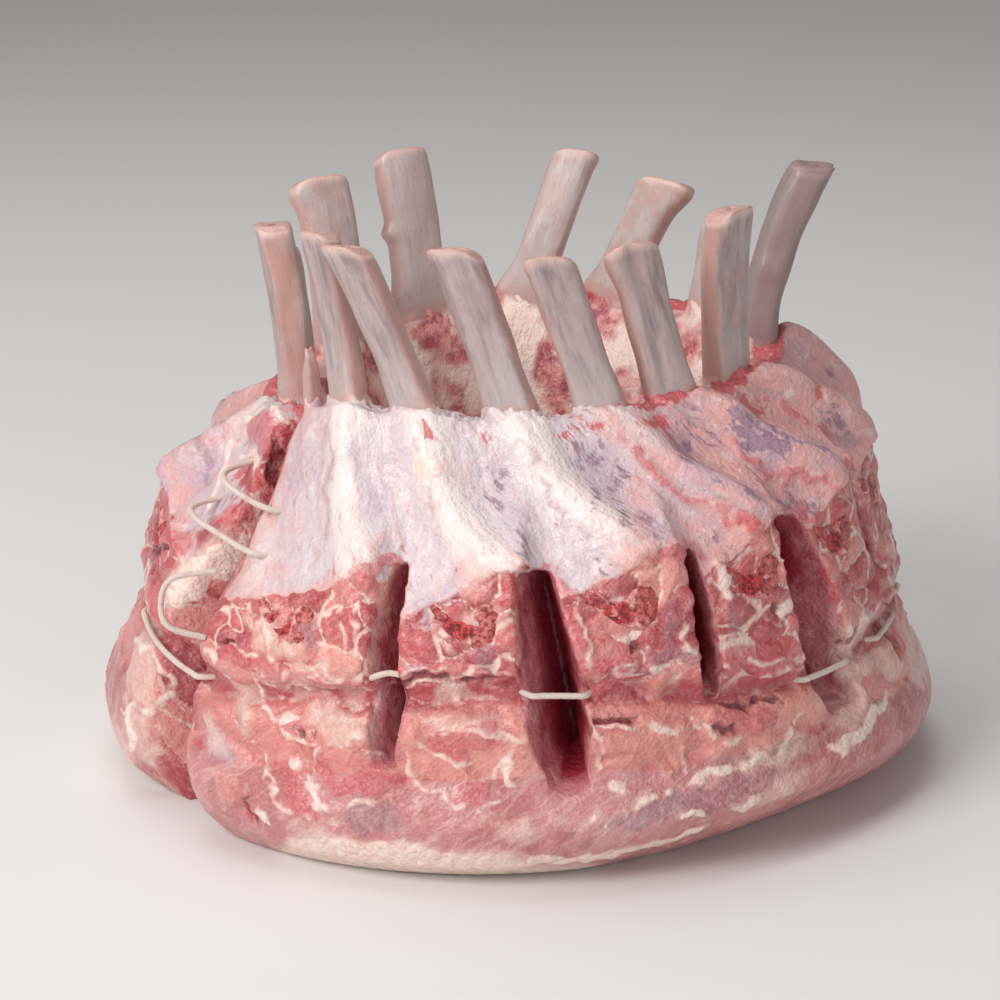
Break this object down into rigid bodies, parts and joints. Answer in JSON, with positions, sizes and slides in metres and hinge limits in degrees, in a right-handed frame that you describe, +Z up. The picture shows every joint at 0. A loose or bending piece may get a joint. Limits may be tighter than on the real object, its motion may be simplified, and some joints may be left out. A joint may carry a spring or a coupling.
{
  "type": "crown roast of lamb",
  "caption": "Raw crown roast: racks of lamb with bared ribs, bent into a ring, ribs up, chine sawn between the ribs, tied with twine.",
  "frame": {"origin": "on the surface the crown stands on, under the middle of the ring", "axes": "+Z up along the ribs, -Y the front, which faces the viewer, +X to the viewer's right"},
  "size_m": [0.247, 0.236, 0.1757],
  "materials": {
    "meat": "satin",
    "bone": "satin",
    "sawn_bone": "matte",
    "twine": "matte"
  },
  "bodies": {
    "root": {"rack_front": "meat", "rack_back": "meat", "rib_front_1": "bone", "rib_front_2": "bone", "rib_front_3": "bone", "rib_front_4": "bone", "rib_front_5": "bone", "rib_front_6": "bone", "rib_front_7": "bone", "rib_back_1": "bone", "rib_back_2": "bone", "rib_back_3": "bone", "rib_back_4": "bone", "rib_back_5": "bone", "rib_back_6": "bone", "rib_back_7": "bone", "rib_front_sliver": "bone", "vertebra_front_1": "sawn_bone", "vertebra_front_2": "sawn_bone", "vertebra_front_3": "sawn_bone", "vertebra_front_4": "sawn_bone", "vertebra_front_5": "sawn_bone", "vertebra_front_6": "sawn_bone", "vertebra_front_7": "sawn_bone", "vertebra_back_1": "sawn_bone", "vertebra_back_2": "sawn_bone", "vertebra_back_3": "sawn_bone", "vertebra_back_4": "sawn_bone", "vertebra_back_5": "sawn_bone", "vertebra_back_6": "sawn_bone", "vertebra_back_7": "sawn_bone", "twine_hoop": "twine", "stitch_left_upper": "twine", "stitch_left_lower": "twine", "stitch_left_edge": "twine", "stitch_back_upper": "twine", "stitch_back_lower": "twine"}
  },
  "joints": []
}
